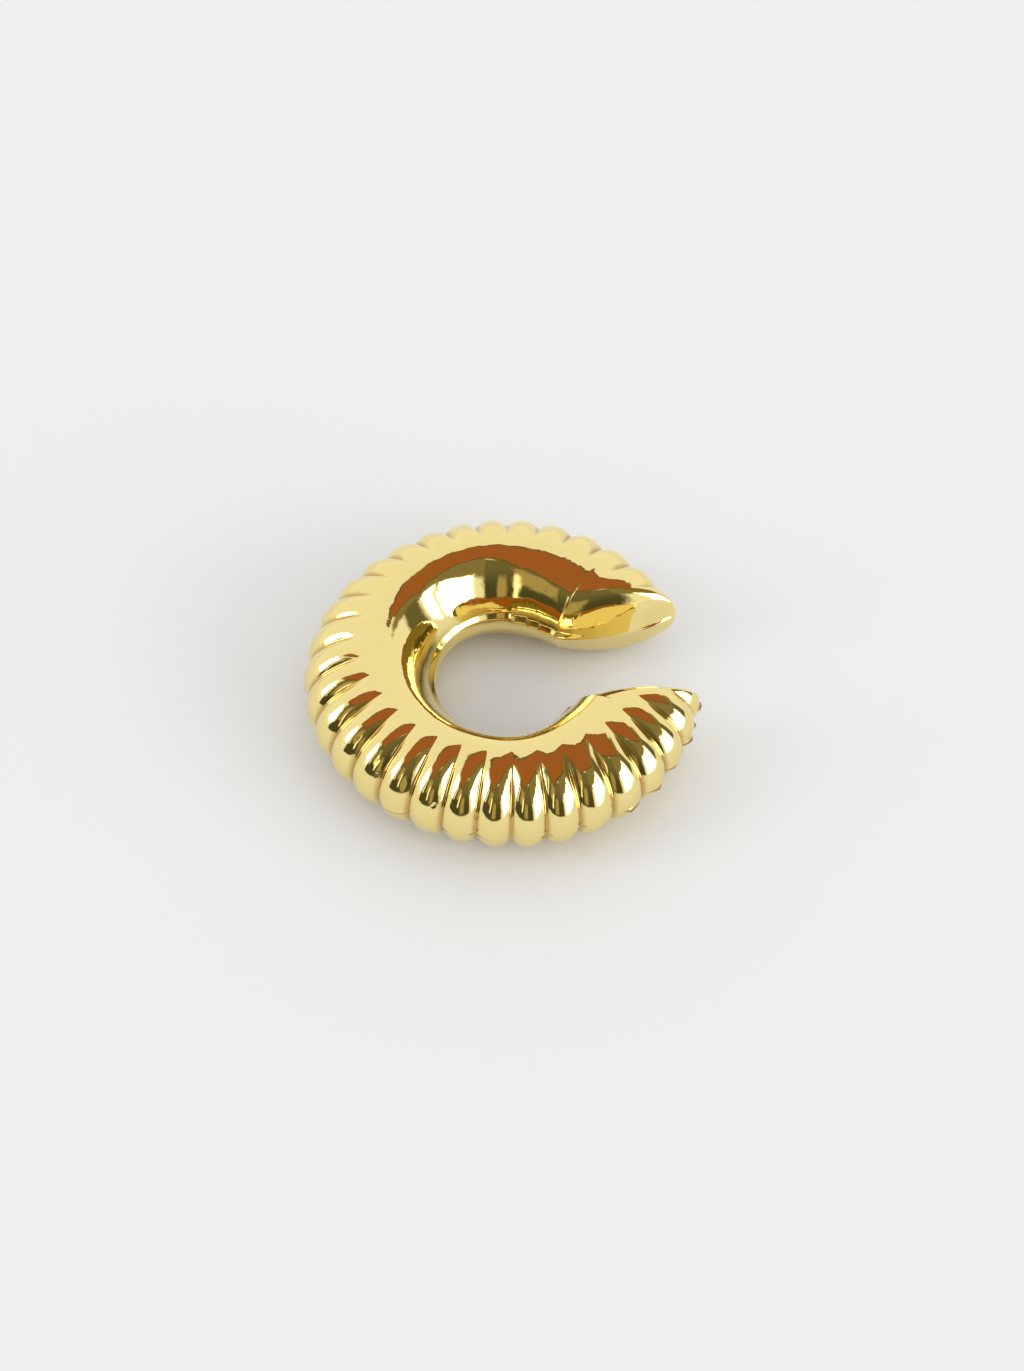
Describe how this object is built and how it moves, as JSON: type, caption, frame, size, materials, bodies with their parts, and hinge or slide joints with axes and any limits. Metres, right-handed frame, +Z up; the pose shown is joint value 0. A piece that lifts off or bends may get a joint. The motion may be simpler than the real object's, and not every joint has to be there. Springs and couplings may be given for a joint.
{
  "type": "ear cuff",
  "caption": "Chunky open ear cuff: a thick C-shaped ring, ribbed round its outer half and smooth inside, with slanting end faces and blunt tips, lying on its side.",
  "frame": {"origin": "under the middle of the cuff as it lies on its side, at the height of its lowest point", "axes": "+Z up along the ring's axis, +X from the thick back toward the mouth, +Y toward one arm"},
  "size_m": [0.0198, 0.02, 0.0056],
  "materials": {
    "polished_gold": "gold plated and polished to a mirror"
  },
  "bodies": {
    "root": {"cuff_body": "polished_gold"}
  },
  "joints": []
}
